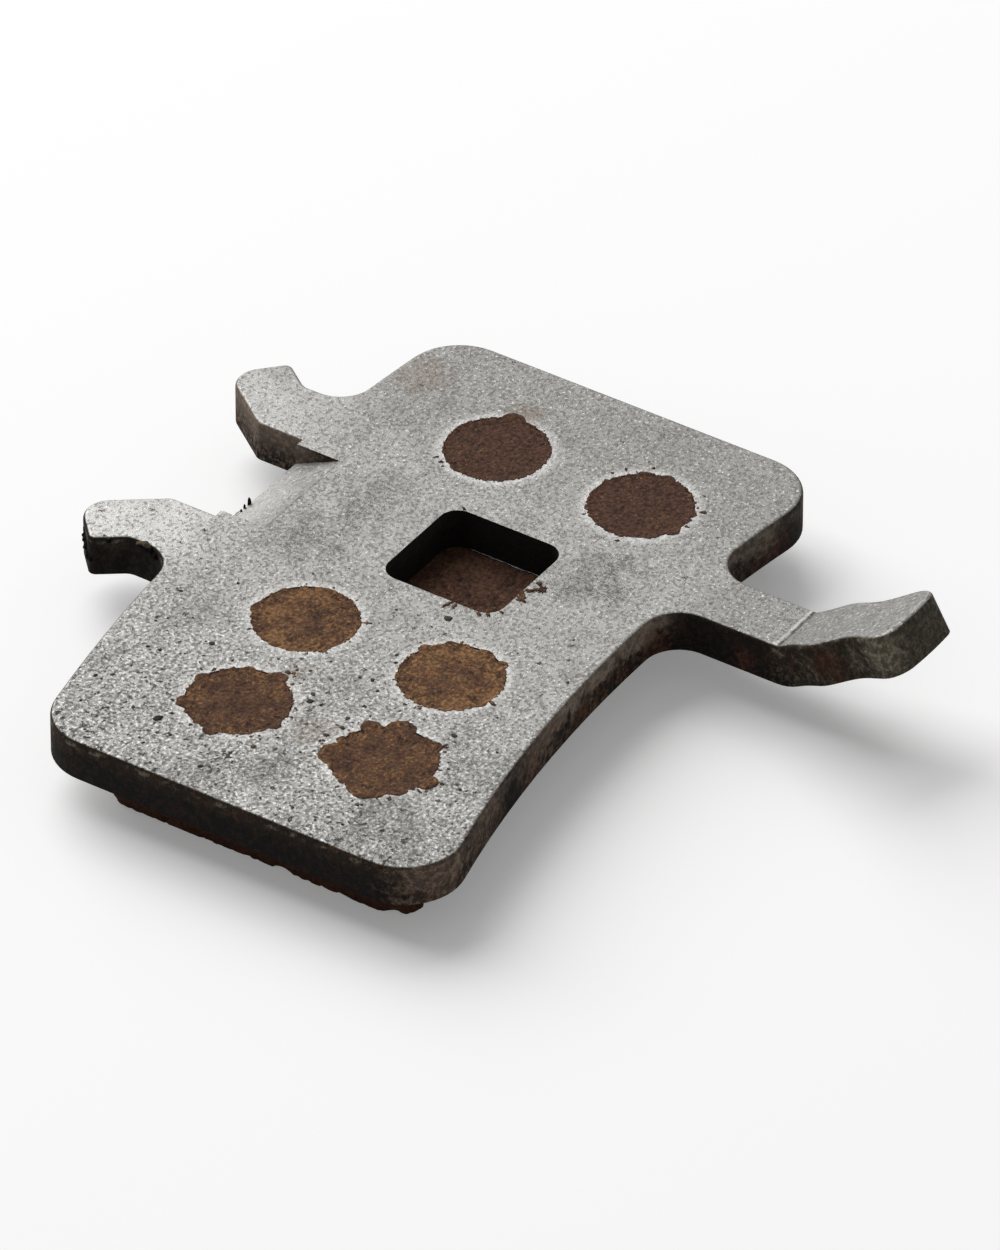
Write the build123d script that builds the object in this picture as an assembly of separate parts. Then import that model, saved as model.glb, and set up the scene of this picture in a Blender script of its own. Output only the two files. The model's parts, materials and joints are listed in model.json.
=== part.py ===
"""Bicycle disc brake pad: a stamped steel backing plate with a friction lining moulded to it.

The pad lies on its friction face. X runs along the plate, +Y points to the two hooks,
+Z is up, out of the plate's back. The origin is under the centre of the square window,
on the friction face. Millimetres throughout.
"""
import os
from math import cos, radians, sin, sqrt, tan

from build123d import *

# Plate blank: two arcs about the wheel axle, cut off by two straight ends
PLATE_T = 2.0
AXLE_DROP = 80.0
PLATE_OUT = 11.4
PLATE_IN = 8.8
END_SHORT = 13.7
END_LONG = 20.25
CORNER_R = 2.7

# Window that snaps over the piston's post
WINDOW_X = 5.85
WINDOW_Y = 6.05
WINDOW_R = 0.9

# Six keying holes, in three pairs along the plate
HOLE_D = 4.75
HOLE_PITCH = 7.6
HOLE_ARC_OUT = 0.25
NEAR_COLUMN = 7.5
FAR_COLUMN = 14.0

# Pair of hooks: the right one, mirrored to the left
HOOK_INNER_X = 3.32
HOOK_NECK_X = 6.8
HOOK_SHOULDER_Y = 13.65
HOOK_APEX = (5.75, 16.95)
HOOK_BILL = (7.86, 14.95)
HOOK_THROAT_Y = 13.5
HOOK_SHOULDER_R = 0.6
HOOK_APEX_R = 1.2
HOOK_BILL_R = 0.35
HOOK_THROAT_R = 0.8
HOOK_ROOT_R = 1.6

# Lead-in ramp, coined into the back between the hooks
RAMP_WIDTH = 5.9
RAMP_START_Y = 8.95
RAMP_ANGLE = 25.0

# Pull tab: a flat stem, a bend, and a scalloped head
STEM_X = 3.7
STEM_WIDTH = 3.15
STEM_ROOT_R = 1.75
CREASE_Y = -14.5
BEND_ANGLE = 30.0
BEND_R = 0.3
TAB_LENGTH = 6.8
TAB_BUMP_AT = 2.0
TAB_BUMP_WIDTH = 3.86
TAB_WAIST_AT = 3.8
TAB_WAIST_WIDTH = 3.42
TAB_HEAD_AT = 5.6
TAB_HEAD_WIDTH = 4.24
TAB_END_BULGE = 0.2
TAB_END_R = 0.9

# Rounding that the blanking die leaves along the back's rim
DIE_ROLL = 0.2

# Friction lining: its outline on the friction face, and how it keys into the plate
LINING_T = 2.0
LINING_OUT = 8.55
LINING_IN = 7.0
LINING_SHORT = 12.0
LINING_LONG = 18.75
LINING_CORNER_R = 1.2
LINING_DRAFT = 5.0
LINING_EDGE_BREAK = 0.15
PLUG_RECESS = 0.06
MOULD_CLEARANCE = 0.02

# Levels, from the friction face up
FRONT_Z = LINING_T
BACK_Z = LINING_T + PLATE_T
STEM_HALF = STEM_WIDTH / 2


def arc_y(out, x):
    """Height of the arc that crosses X = 0 at `out`, about the wheel axle."""
    return sqrt((AXLE_DROP + out) ** 2 - x**2) - AXLE_DROP


def annular_blank(out, inner, short_end, long_end):
    """Flat outline between two arcs about the wheel axle and two straight ends."""
    axle = Pos(0, -AXLE_DROP)
    band = axle * Circle(AXLE_DROP + out) - axle * Circle(AXLE_DROP - inner)
    length = short_end + long_end
    middle = (short_end - long_end) / 2
    return band & Pos(middle, 0) * Rectangle(length, 4 * (out + inner))


def near(sketch, x, y):
    """The sketch's corner that lies nearest to (x, y)."""
    return sketch.vertices().sort_by_distance((x, y, 0))[0]


def hole_places():
    """Centres of the six holes: each pair straddles one arc about the wheel axle."""
    places = []
    for x in (-FAR_COLUMN, -NEAR_COLUMN, NEAR_COLUMN):
        middle = arc_y(HOLE_ARC_OUT, x)
        places.append((x, middle + HOLE_PITCH / 2))
        places.append((x, middle - HOLE_PITCH / 2))
    return places


def hook_outline():
    """Outline of the right-hand hook, sunk into the plate at its foot."""
    foot_y = PLATE_OUT - 2 * HOOK_ROOT_R
    shoulder = (HOOK_INNER_X, HOOK_SHOULDER_Y)
    throat = (HOOK_NECK_X, HOOK_THROAT_Y)
    corners = [(HOOK_INNER_X, foot_y), shoulder, HOOK_APEX, HOOK_BILL, throat, (HOOK_NECK_X, foot_y)]
    hook = make_face(Polyline(*corners, close=True))
    rounds = [
        (shoulder, HOOK_SHOULDER_R),
        (HOOK_APEX, HOOK_APEX_R),
        (HOOK_BILL, HOOK_BILL_R),
        (throat, HOOK_THROAT_R),
    ]
    for place, radius in rounds:
        hook = fillet(near(hook, *place), radius)
    return hook


def plate_outline():
    """Flat blank of the plate with its hooks and the tab's stem, corners rounded."""
    blank = annular_blank(PLATE_OUT, PLATE_IN, END_SHORT, END_LONG)
    for x in (END_SHORT, -END_LONG):
        for reach in (PLATE_OUT, -PLATE_IN):
            blank = fillet(near(blank, x, arc_y(reach, x)), CORNER_R)
    hook = hook_outline()
    blank = blank + hook + mirror(hook, Plane.YZ)
    stem_top = -PLATE_IN + STEM_ROOT_R
    stem_foot = CREASE_Y + BEND_R * tan(radians(BEND_ANGLE / 2))
    stem_middle = (stem_top + stem_foot) / 2
    blank = blank + Pos(STEM_X, stem_middle) * Rectangle(STEM_WIDTH, stem_top - stem_foot)
    for side in (-1, 1):
        root_x = side * HOOK_NECK_X
        blank = fillet(near(blank, root_x, arc_y(PLATE_OUT, root_x)), HOOK_ROOT_R)
        stem_x = STEM_X + side * STEM_HALF
        blank = fillet(near(blank, stem_x, arc_y(-PLATE_IN, stem_x)), STEM_ROOT_R)
    return blank


def tab_outline():
    """Flat outline of the tab beyond the bend, running down local -Y from the bend's end."""
    gone = BEND_R * tan(radians(BEND_ANGLE / 2))
    sides = []
    for side in (1, -1):
        stations = [
            (side * STEM_HALF, 0),
            (side * TAB_BUMP_WIDTH / 2, gone - TAB_BUMP_AT),
            (side * TAB_WAIST_WIDTH / 2, gone - TAB_WAIST_AT),
            (side * TAB_HEAD_WIDTH / 2, gone - TAB_HEAD_AT),
            (side * TAB_HEAD_WIDTH / 2, gone - TAB_LENGTH + TAB_END_BULGE),
        ]
        sides.append(Spline(*stations, tangents=[(0, -1), (0, -1)]))
    end = ThreePointArc(sides[0] @ 1, (0, gone - TAB_LENGTH), sides[1] @ 1)
    tab = make_face([Line(sides[1] @ 0, sides[0] @ 0), sides[0], end, sides[1]])
    for side in sides:
        tip = side @ 1
        tab = fillet(near(tab, tip.X, tip.Y), TAB_END_R)
    return tab


def build_plate():
    """Stamped plate: blank, die roll, bent tab, holes, window and coined ramp."""
    foot_y = CREASE_Y + BEND_R * tan(radians(BEND_ANGLE / 2))
    flat = extrude(Pos(0, 0, FRONT_Z) * plate_outline(), PLATE_T)
    rim = flat.faces().sort_by(Axis.Z)[-1].outer_wire().edges()
    rolled = rim.filter_by(lambda edge: edge.center().Y > foot_y + BEND_R)
    flat = fillet(rolled, DIE_ROLL)

    # The bend: the stem's own end face, swung up about a line above the back
    stem_end = flat.faces().sort_by(Axis.Y)[0]
    bend_line = Axis((STEM_X, foot_y, BACK_Z + BEND_R), (-1, 0, 0))
    bend = revolve(stem_end, bend_line, BEND_ANGLE)

    # The tab: a flat piece on the plane that the bend ends on
    tilt = radians(BEND_ANGLE)
    tab_start = (STEM_X, foot_y - BEND_R * sin(tilt), BACK_Z + BEND_R - BEND_R * cos(tilt))
    tab_plane = Plane(origin=tab_start, x_dir=(1, 0, 0), z_dir=(0, sin(tilt), cos(tilt)))
    tab = extrude(tab_outline(), -PLATE_T)
    tab_rim = tab.faces().sort_by(Axis.Z)[-1].outer_wire().edges()
    tab = fillet(tab_rim.filter_by(lambda edge: edge.center().Y < -BEND_R), DIE_ROLL)
    plate = flat + bend + tab_plane * tab

    through = 2 * BACK_Z
    for x, y in hole_places():
        plate -= Pos(x, y, BACK_Z) * Cylinder(HOLE_D / 2, through)
    window = RectangleRounded(WINDOW_X, WINDOW_Y, WINDOW_R)
    plate -= extrude(Pos(0, 0, BACK_Z - through / 2) * window, through)

    run = PLATE_OUT - RAMP_START_Y + 1
    drop = run * tan(radians(RAMP_ANGLE))
    wedge = make_face(
        Polyline(
            (RAMP_START_Y, BACK_Z),
            (RAMP_START_Y + run, BACK_Z - drop),
            (RAMP_START_Y + run, BACK_Z),
            close=True,
        )
    )
    plate -= extrude(Plane.YZ * wedge, RAMP_WIDTH / 2, both=True)
    return plate


def build_lining():
    """Moulded lining: drafted block under the plate, with six plugs that fill the holes."""
    face = annular_blank(LINING_OUT, LINING_IN, LINING_SHORT, LINING_LONG)
    for x in (LINING_SHORT, -LINING_LONG):
        for reach in (LINING_OUT, -LINING_IN):
            face = fillet(near(face, x, arc_y(reach, x)), LINING_CORNER_R)
    block = extrude(face, LINING_T, taper=-LINING_DRAFT)
    worn_edge = block.faces().sort_by(Axis.Z)[0].outer_wire().edges()
    block = chamfer(worn_edge, LINING_EDGE_BREAK)
    plug_height = PLATE_T - PLUG_RECESS
    for x, y in hole_places():
        plug = Cylinder(HOLE_D / 2 - MOULD_CLEARANCE, plug_height + LINING_T / 2)
        block += Pos(x, y, (FRONT_Z + plug_height + LINING_T / 2) / 2) * plug
    return block


os.makedirs("parts", exist_ok=True)
for name, piece in (("backing_plate", build_plate()), ("friction_lining", build_lining())):
    export_step(piece, f"parts/{name}.step")
    box = piece.bounding_box()
    print(name, "volume", round(piece.volume, 1), "size", box.size, "low", box.min)
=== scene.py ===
# %% [markdown]
# # A worn bicycle disc brake pad
#
# The pad is two pieces: a stamped steel plate, and a block of friction compound that was
# moulded onto it. Both come from the CAD model at their real size, so this lesson is about
# finish: blasted steel with pits and rust, crumbling compound, and the flash that the
# moulding left around six plugs. Everything is in metres, in the CAD model's own frame.

# %% Load the CAD frame
import json
import math
import random

import bmesh
import bpy
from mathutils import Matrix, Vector, kdtree, noise


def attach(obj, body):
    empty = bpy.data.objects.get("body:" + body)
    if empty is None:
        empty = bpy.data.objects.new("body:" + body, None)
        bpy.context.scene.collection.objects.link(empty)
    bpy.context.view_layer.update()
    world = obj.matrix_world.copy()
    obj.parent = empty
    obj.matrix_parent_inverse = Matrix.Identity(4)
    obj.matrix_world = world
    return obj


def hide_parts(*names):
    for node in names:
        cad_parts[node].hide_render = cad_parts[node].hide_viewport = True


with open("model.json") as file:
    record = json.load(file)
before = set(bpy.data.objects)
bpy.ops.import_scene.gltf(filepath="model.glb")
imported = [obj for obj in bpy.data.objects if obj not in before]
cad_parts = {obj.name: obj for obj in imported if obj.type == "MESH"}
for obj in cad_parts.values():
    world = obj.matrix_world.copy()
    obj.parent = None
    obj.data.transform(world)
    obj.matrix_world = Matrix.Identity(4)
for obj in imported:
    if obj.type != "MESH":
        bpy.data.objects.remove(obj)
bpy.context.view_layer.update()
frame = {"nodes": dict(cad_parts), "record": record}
MM = 0.001

plate = frame["nodes"]["backing_plate"]
lining = frame["nodes"]["friction_lining"]
mounts = {mount["name"]: mount for mount in frame["record"]["mounts"]}
BACK_Z = mounts["back_face"]["pos_m"][2]

# %% [markdown]
# ## The camera
#
# The photograph was taken with a long lens from well above the table. A long lens keeps the
# plate's two ends nearly parallel, and that is the look to keep, so the camera stands 65 cm
# away and looks along the same direction. The lens is then worked out so that the plate
# fills the frame, from how far apart its outermost points look from there.

# %% Stand the camera where the photographer stood
VIEW_AZIMUTH = math.radians(-56.3)
VIEW_ELEVATION = math.radians(36.6)
VIEW_DISTANCE = 0.654
FRAME_W, FRAME_H = 1000, 1250
FRAME_FILL = 0.90

towards_camera = Vector((
    math.sin(VIEW_AZIMUTH) * math.cos(VIEW_ELEVATION),
    -math.cos(VIEW_AZIMUTH) * math.cos(VIEW_ELEVATION),
    math.sin(VIEW_ELEVATION),
))
camera_right = Vector((math.cos(VIEW_AZIMUTH), math.sin(VIEW_AZIMUTH), 0))
camera_up = towards_camera.cross(camera_right)
eye = Vector((0, 0, BACK_Z)) + towards_camera * VIEW_DISTANCE


def seen_from_eye(point):
    """Where a point appears, as slopes to the right of and above the line of sight."""
    ray = point - eye
    depth = -ray.dot(towards_camera)
    return ray.dot(camera_right) / depth, ray.dot(camera_up) / depth


seen = [seen_from_eye(plate.matrix_world @ v.co) for v in plate.data.vertices]
left, right = min(s[0] for s in seen), max(s[0] for s in seen)
low, high = min(s[1] for s in seen), max(s[1] for s in seen)
line_of_sight = -towards_camera + camera_right * (left + right) / 2 + camera_up * (low + high) / 2

camera = bpy.data.objects.new("camera", bpy.data.cameras.new("camera"))
bpy.context.scene.collection.objects.link(camera)
camera.location = eye
camera.rotation_mode = "QUATERNION"
camera.rotation_quaternion = line_of_sight.to_track_quat("-Z", "Y")
across, tall = right - left, high - low
long_side = max(across * FRAME_H / FRAME_W, tall)
camera.data.lens = camera.data.sensor_width * FRAME_FILL / long_side
camera.data.clip_start, camera.data.clip_end = 0.01, 10
bpy.context.scene.camera = camera
print("lens", round(camera.data.lens, 1), "mm")

# %% [markdown]
# ## Floor and light
#
# The pad lies on white paper under soft light from behind and to the left, so its back is
# bright and the walls that face us are dark. One large lamp does that, with a weak white world
# to fill the shadows. The floor is pale by its own colour, with a little glow that only the
# camera sees, so that the paper reads as white while the pad's shadow stays.

# %% Helpers that add a node and wire it up
def feed(tree, socket, value):
    """Gives a socket its input: a plain value, or another node's output to link."""
    if isinstance(value, bpy.types.NodeSocket):
        tree.links.new(value, socket)
    else:
        socket.default_value = value


def add_node(tree, kind, settings=None, **inputs):
    """Adds a shader node. Inputs go by name, or by number as i0, i1 and so on."""
    made = tree.nodes.new("ShaderNode" + kind)
    for key, value in (settings or {}).items():
        setattr(made, key, value)
    for name, value in inputs.items():
        key = int(name[1:]) if name[1:].isdigit() else name.replace("_", " ")
        feed(tree, made.inputs[key], value)
    return made


def new_material(name):
    """An empty node material with its output, ready for a shader."""
    material = bpy.data.materials.new(name)
    material.use_nodes = True
    material.node_tree.nodes.clear()
    output = add_node(material.node_tree, "OutputMaterial")
    return material, material.node_tree, output


# %% White paper floor
PAPER_SIZE = 6.0
PAPER_COLOUR = (0.92, 0.92, 0.92, 1)
PAPER_GLOW = 0.22

bpy.ops.mesh.primitive_plane_add(size=PAPER_SIZE, location=(0, 0, 0))
floor = bpy.context.object
floor.name = "paper_floor"
paper, tree, output = new_material("white_paper")
surface = add_node(tree, "BsdfDiffuse", Color=PAPER_COLOUR)
path = add_node(tree, "LightPath")
glow_ray = add_node(tree, "Math", {"operation": "MULTIPLY"},
                    i0=path.outputs["Is Camera Ray"], i1=PAPER_GLOW)
glow = add_node(tree, "Emission", Strength=glow_ray.outputs[0])
both = add_node(tree, "AddShader", i0=surface.outputs[0], i1=glow.outputs[0])
tree.links.new(both.outputs[0], output.inputs["Surface"])
floor.data.materials.append(paper)
print("floor", floor.name, PAPER_SIZE, "m")

# %% One soft lamp behind, and a white world
LAMP_FROM = Vector((0.22, 0.64, 0.66))
LAMP_SIZE = 1.00
LAMP_POWER = 10.4
WORLD_STRENGTH = 0.25

lamp = bpy.data.objects.new("back_lamp", bpy.data.lights.new("back_lamp", "AREA"))
bpy.context.scene.collection.objects.link(lamp)
lamp.location = LAMP_FROM
lamp.rotation_mode = "QUATERNION"
lamp.rotation_quaternion = (-LAMP_FROM).to_track_quat("-Z", "Y")
lamp.data.size = LAMP_SIZE
lamp.data.energy = LAMP_POWER

world = bpy.data.worlds.new("white_world")
world.use_nodes = True
tree = world.node_tree
tree.nodes.clear()
path = add_node(tree, "LightPath")
seen_white = add_node(tree, "Math", {"operation": "MAXIMUM"},
                      i0=path.outputs["Is Camera Ray"], i1=path.outputs["Is Glossy Ray"])
seen_white = add_node(tree, "Math", {"operation": "MAXIMUM"},
                      i0=seen_white.outputs[0], i1=path.outputs["Is Transmission Ray"])
strength = add_node(tree, "MapRange", Value=seen_white.outputs[0], To_Min=WORLD_STRENGTH, To_Max=1.0)
sky = add_node(tree, "Background", Strength=strength.outputs[0])
output = add_node(tree, "OutputWorld", Surface=sky.outputs[0])
bpy.context.scene.world = world
bpy.context.scene.view_settings.view_transform = "Standard"
print("lamp", LAMP_POWER, "W, world", WORLD_STRENGTH)

# %% [markdown]
# ## Shared effects
#
# Steel and compound show the same kinds of marks at different sizes: fine grain, scattered
# pits, and patches of stain. Each is built once here as a node group with named inputs, so a
# material only says how large and how strong its own marks are. Positions are in millimetres,
# which makes the sizes easy to compare with the photograph.

# %% Helpers for node groups
def new_group(name, inputs, outputs):
    """A shader node group. Inputs map a name to a type and a default; outputs are names only."""
    group = bpy.data.node_groups.new(name, "ShaderNodeTree")
    for label, (kind, default) in inputs.items():
        socket = group.interface.new_socket(label, in_out="INPUT", socket_type="NodeSocket" + kind)
        if default is not None:
            socket.default_value = default
    for label in outputs:
        group.interface.new_socket(label, in_out="OUTPUT", socket_type="NodeSocketFloat")
    return group, group.nodes.new("NodeGroupInput").outputs, group.nodes.new("NodeGroupOutput").inputs


def use_group(tree, group, place, **inputs):
    """Reads a node group at a position, with its own values, and gives its one output."""
    made = tree.nodes.new("ShaderNodeGroup")
    made.node_tree = group
    for name, value in dict(inputs, Position=place).items():
        feed(tree, made.inputs[name], value)
    return made.outputs[0]


def calc(tree, operation, a, b=0.0):
    """One step of arithmetic on a mask."""
    return add_node(tree, "Math", {"operation": operation}, i0=a, i1=b).outputs[0]


def step(tree, value, start, end):
    """A soft step from 0 at start to 1 at end."""
    return add_node(tree, "MapRange", {"interpolation_type": "SMOOTHSTEP"},
                    Value=value, From_Min=start, From_Max=end).outputs[0]


def share_of(tree, mask, share):
    """A mask made weaker."""
    return calc(tree, "MULTIPLY", mask, share)


def vary(tree, base, mask, change):
    """A value that is base where the mask is 0, and base plus change where it is 1."""
    return calc(tree, "ADD", share_of(tree, mask, change), base)


def blend(tree, mask, base, layer):
    """Lays a colour over another where the mask says."""
    made = tree.nodes.new("ShaderNodeMix")
    made.data_type = "RGBA"
    for number, value in ((0, mask), (6, base), (7, layer)):
        feed(tree, made.inputs[number], value)
    return made.outputs[2]


# %% Grain: close-set speckle of one size
grain_group, given, result = new_group(
    "grain",
    {"Position": ("Vector", None), "Size": ("Float", 0.2), "Roughen": ("Float", 0.6)},
    ["Grain"],
)
tree = grain_group
scale = calc(tree, "DIVIDE", 1.0, given["Size"])
speckle = add_node(tree, "TexNoise", Vector=given["Position"], Scale=scale, Detail=3.0,
                   Roughness=given["Roughen"])
tree.links.new(step(tree, speckle.outputs[0], 0.30, 0.70), result["Grain"])

# %% Pits: scattered ragged specks, each of its own size
pit_group, given, result = new_group(
    "pits",
    {"Position": ("Vector", None), "Spacing": ("Float", 0.6), "Share": ("Float", 0.4),
     "Width": ("Float", 0.5), "Ragged": ("Float", 0.25)},
    ["Pit"],
)
tree = pit_group
wobble = add_node(tree, "TexNoise", Vector=given["Position"],
                  Scale=calc(tree, "DIVIDE", 5.0, given["Spacing"]), Detail=2.0)
shift = add_node(tree, "VectorMath", {"operation": "SUBTRACT"},
                 i0=wobble.outputs[1], i1=(0.5, 0.5, 0.5))
reach = calc(tree, "MULTIPLY", given["Ragged"], given["Spacing"])
shift = add_node(tree, "VectorMath", {"operation": "SCALE"}, i0=shift.outputs[0], Scale=reach)
ragged = add_node(tree, "VectorMath", {"operation": "ADD"},
                  i0=given["Position"], i1=shift.outputs[0])
cells = add_node(tree, "TexVoronoi", Vector=ragged.outputs[0],
                 Scale=calc(tree, "DIVIDE", 1.0, given["Spacing"]))
draw = add_node(tree, "SeparateColor", Color=cells.outputs["Color"])
kept = calc(tree, "LESS_THAN", draw.outputs[0], given["Share"])
size = calc(tree, "MULTIPLY", given["Width"], vary(tree, 0.3, draw.outputs[1], 0.7))
inside = calc(tree, "SUBTRACT", 1.0, calc(tree, "DIVIDE", cells.outputs["Distance"], size))
tree.links.new(calc(tree, "MULTIPLY", step(tree, inside, 0.0, 0.6), kept), result["Pit"])

# %% Patches: ragged areas where one finish gives way to another
patch_group, given, result = new_group(
    "patches",
    {"Position": ("Vector", None), "Size": ("Float", 3.0), "Level": ("Float", 0.5),
     "Softness": ("Float", 0.15), "Fray": ("Float", 0.6)},
    ["Patch"],
)
tree = patch_group
cloud = add_node(tree, "TexNoise", Vector=given["Position"], Detail=6.0, Roughness=given["Fray"],
                 Scale=calc(tree, "DIVIDE", 1.0, given["Size"]))
lower = calc(tree, "SUBTRACT", given["Level"], given["Softness"])
upper = calc(tree, "ADD", given["Level"], given["Softness"])
tree.links.new(step(tree, cloud.outputs[0], lower, upper), result["Patch"])

# %% Spot: one ragged stain at a given place
spot_group, given, result = new_group(
    "spot",
    {"Position": ("Vector", None), "Centre": ("Vector", (0, 0, 0)), "Radius": ("Float", 2.0),
     "Fray": ("Float", 0.8), "Size": ("Float", 1.0)},
    ["Spot"],
)
tree = spot_group
away = add_node(tree, "VectorMath", {"operation": "DISTANCE"},
                i0=given["Position"], i1=given["Centre"])
share = calc(tree, "SUBTRACT", 1.0, calc(tree, "DIVIDE", away.outputs["Value"], given["Radius"]))
ripple = add_node(tree, "TexNoise", Vector=given["Position"], Detail=5.0, Roughness=0.7,
                  Scale=calc(tree, "DIVIDE", 1.0, given["Size"]))
frayed = calc(tree, "MULTIPLY", calc(tree, "SUBTRACT", ripple.outputs[0], 0.5), given["Fray"])
inside = step(tree, share, 0.0, 0.25)
spread = step(tree, calc(tree, "ADD", share, frayed), 0.15, 0.75)
tree.links.new(calc(tree, "MULTIPLY", spread, inside), result["Spot"])

# %% Gap from holes: how far a point is from the middle of the nearest of the six holes
HOLE_RADIUS = 2.375
HOLES = {"D": (-14.0, 2.82), "F": (-14.0, -4.78), "C": (-7.5, 3.70), "E": (-7.5, -3.90),
         "A": (7.5, 3.70), "B": (7.5, -3.90)}
BACK_MM = BACK_Z / MM
FAR_AWAY = 99.0

hole_group, given, result = new_group("gap_from_holes", {"Position": ("Vector", None)}, ["Gap"])
tree = hole_group
nearest = FAR_AWAY
for x, y in HOLES.values():
    away = add_node(tree, "VectorMath", {"operation": "DISTANCE"},
                    i0=given["Position"], i1=(x, y, BACK_MM))
    nearest = calc(tree, "MINIMUM", away.outputs["Value"], nearest)
tree.links.new(nearest, result["Gap"])
print("groups", [group.name for group in bpy.data.node_groups])

# %% [markdown]
# ## Plate steel
#
# The back was blasted and then scuffed by the piston, so it is a light, dull grey with sharp
# grain, dark pits near the long end, and smudges round the window. The cut walls and the
# hidden front never got that cleaning: they are dark scale with rust. One material holds all
# three, because the plate is one piece, and it tells them apart by which way the steel faces.

# %% Millimetre position and facing, for any material
def position_mm(tree):
    """The point on the surface, in millimetres in the pad's frame."""
    place = add_node(tree, "TexCoord").outputs["Object"]
    return add_node(tree, "VectorMath", {"operation": "SCALE"}, i0=place, Scale=1 / MM).outputs[0]


def facing(tree):
    """Which way the surface faces, as X, Y and Z: Z is 1 on the back and -1 underneath."""
    normal = add_node(tree, "NewGeometry").outputs["Normal"]
    return add_node(tree, "SeparateXYZ", Vector=normal).outputs


# %% Blasted back: a mid grey, broken up by light and dark grains
STEEL_MID = (0.330, 0.325, 0.307, 1)
STEEL_LIGHT = (0.74, 0.735, 0.715, 1)
STEEL_CLEAN = (0.60, 0.595, 0.575, 1)
STEEL_DARK = (0.095, 0.091, 0.083, 1)
SOOT_AND_SHADE = (0.020, 0.017, 0.014, 1)

steel, tree, output = new_material("plate_steel")
mm = position_mm(tree)
faces = facing(tree)
along, across_plate, level = add_node(tree, "SeparateXYZ", Vector=mm).outputs

long_end = step(tree, along, -1.0, -15.0)
clean = step(tree, across_plate, 9.0, 13.0)
clean = calc(tree, "MULTIPLY", clean, vary(tree, 0.58, step(tree, along, -5.0, 5.0), -0.25))
mottle = use_group(tree, grain_group, mm, Size=0.9, Roughen=0.7)
fine = use_group(tree, grain_group, mm, Size=0.13, Roughen=0.7)
light_level = vary(tree, 0.60, long_end, -0.065)
light_grains = use_group(tree, patch_group, mm, Size=0.16, Level=light_level, Softness=0.07, Fray=0.6)
dark_level = vary(tree, 0.432, clean, -0.05)
dark_level = vary(tree, dark_level, long_end, 0.018)
# A softness below 0 turns patches inside out, so dark grains sit where the noise is low
dark_grains = use_group(tree, patch_group, mm, Size=0.18, Level=dark_level, Softness=-0.07, Fray=0.6)
back_colour = blend(tree, clean, STEEL_MID, STEEL_CLEAN)
handled_stem = vary(tree, step(tree, across_plate, -8.5, -11.0),
                    step(tree, across_plate, -14.0, -15.5), -0.6)
handled = calc(tree, "MAXIMUM", step(tree, along, 3.0, 10.0), handled_stem)
back_colour = blend(tree, share_of(tree, handled, 0.27), back_colour, STEEL_DARK)
back_colour = blend(tree, vary(tree, 0.24, mottle, -0.24), back_colour, STEEL_DARK)
back_colour = blend(tree, share_of(tree, light_grains, 0.70), back_colour, STEEL_LIGHT)
dark_share = vary(tree, 0.58, long_end, 0.24)
back_colour = blend(tree, share_of(tree, dark_grains, dark_share), back_colour, STEEL_DARK)
smudge_level = vary(tree, 0.61, long_end, -0.03)
smudges = use_group(tree, patch_group, mm, Size=1.5, Level=smudge_level, Softness=0.09, Fray=0.75)
back_colour = blend(tree, share_of(tree, smudges, 0.30), back_colour, STEEL_DARK)

# %% Pits and specks thicken towards the long end
pit_share = vary(tree, 0.06, long_end, 0.40)
fine_pits = use_group(tree, pit_group, mm, Spacing=0.46, Share=pit_share, Width=0.34, Ragged=0.9)
clusters = use_group(tree, patch_group, mm, Size=4.5, Level=0.50, Softness=0.12)
clusters = vary(tree, 0.3, clusters, 0.7)
speck_level = vary(tree, 0.735, calc(tree, "MULTIPLY", clusters, long_end), -0.118)
speck_level = vary(tree, speck_level, step(tree, along, -16.0, -19.0), -0.032)
specks = use_group(tree, patch_group, mm, Size=0.28, Level=speck_level, Softness=0.035, Fray=0.6)
pits = calc(tree, "MAXIMUM", share_of(tree, fine_pits, 0.90), share_of(tree, specks, 0.90))
back_colour = blend(tree, pits, back_colour, SOOT_AND_SHADE)

# %% Pale, rubbed rings round the six holes
hole_gap = use_group(tree, hole_group, mm)
rubbed_ring = step(tree, hole_gap, HOLE_RADIUS + 0.60, HOLE_RADIUS + 0.10)
rubbed_ring = calc(tree, "MULTIPLY", rubbed_ring, vary(tree, 0.15, fine, 0.6))
back_colour = blend(tree, share_of(tree, rubbed_ring, 0.70), back_colour, STEEL_LIGHT)

# %% Scuffs and stains in their places
STAIN_BROWN = (0.15, 0.095, 0.062, 1)
SCUFFS = (((-2.6, 6.9), 3.6, 0.85), ((1.6, 5.9), 2.9, 0.85), ((1.9, -5.3), 3.2, 1.00),
          ((-18.6, -7.4), 3.4, 0.9), ((-17.6, -1.2), 2.6, 0.8), ((-19.6, 1.5), 2.2, 0.6),
          ((-12.5, -8.4), 3.0, 0.6), ((11.8, -2.4), 2.4, 0.35), ((8.0, 8.6), 2.8, 0.30),
          ((-9.6, 8.2), 2.2, 0.45), ((-10.9, -0.6), 1.8, 0.5))
STAINS = (((10.3, 4.0), 1.4, 0.45), ((10.4, 9.5), 2.2, 0.35), ((-10.9, 1.8), 1.2, 0.25),
          ((-13.9, -1.0), 1.8, 0.25))
SCUFF_TURN, SCUFF_STRETCH, SCUFF_WANDER = 0.7, (1.0, 0.35, 1.0), 1.6
wandering = add_node(tree, "VectorMath", {"operation": "ADD"},
                     i0=mm, i1=share_of(tree, mottle, SCUFF_WANDER)).outputs[0]
streaked = add_node(tree, "Mapping", Vector=wandering,
                    Rotation=(0, 0, SCUFF_TURN), Scale=SCUFF_STRETCH).outputs[0]
streaks = use_group(tree, patch_group, streaked, Size=0.21, Level=0.515, Softness=0.035, Fray=0.7)
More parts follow.
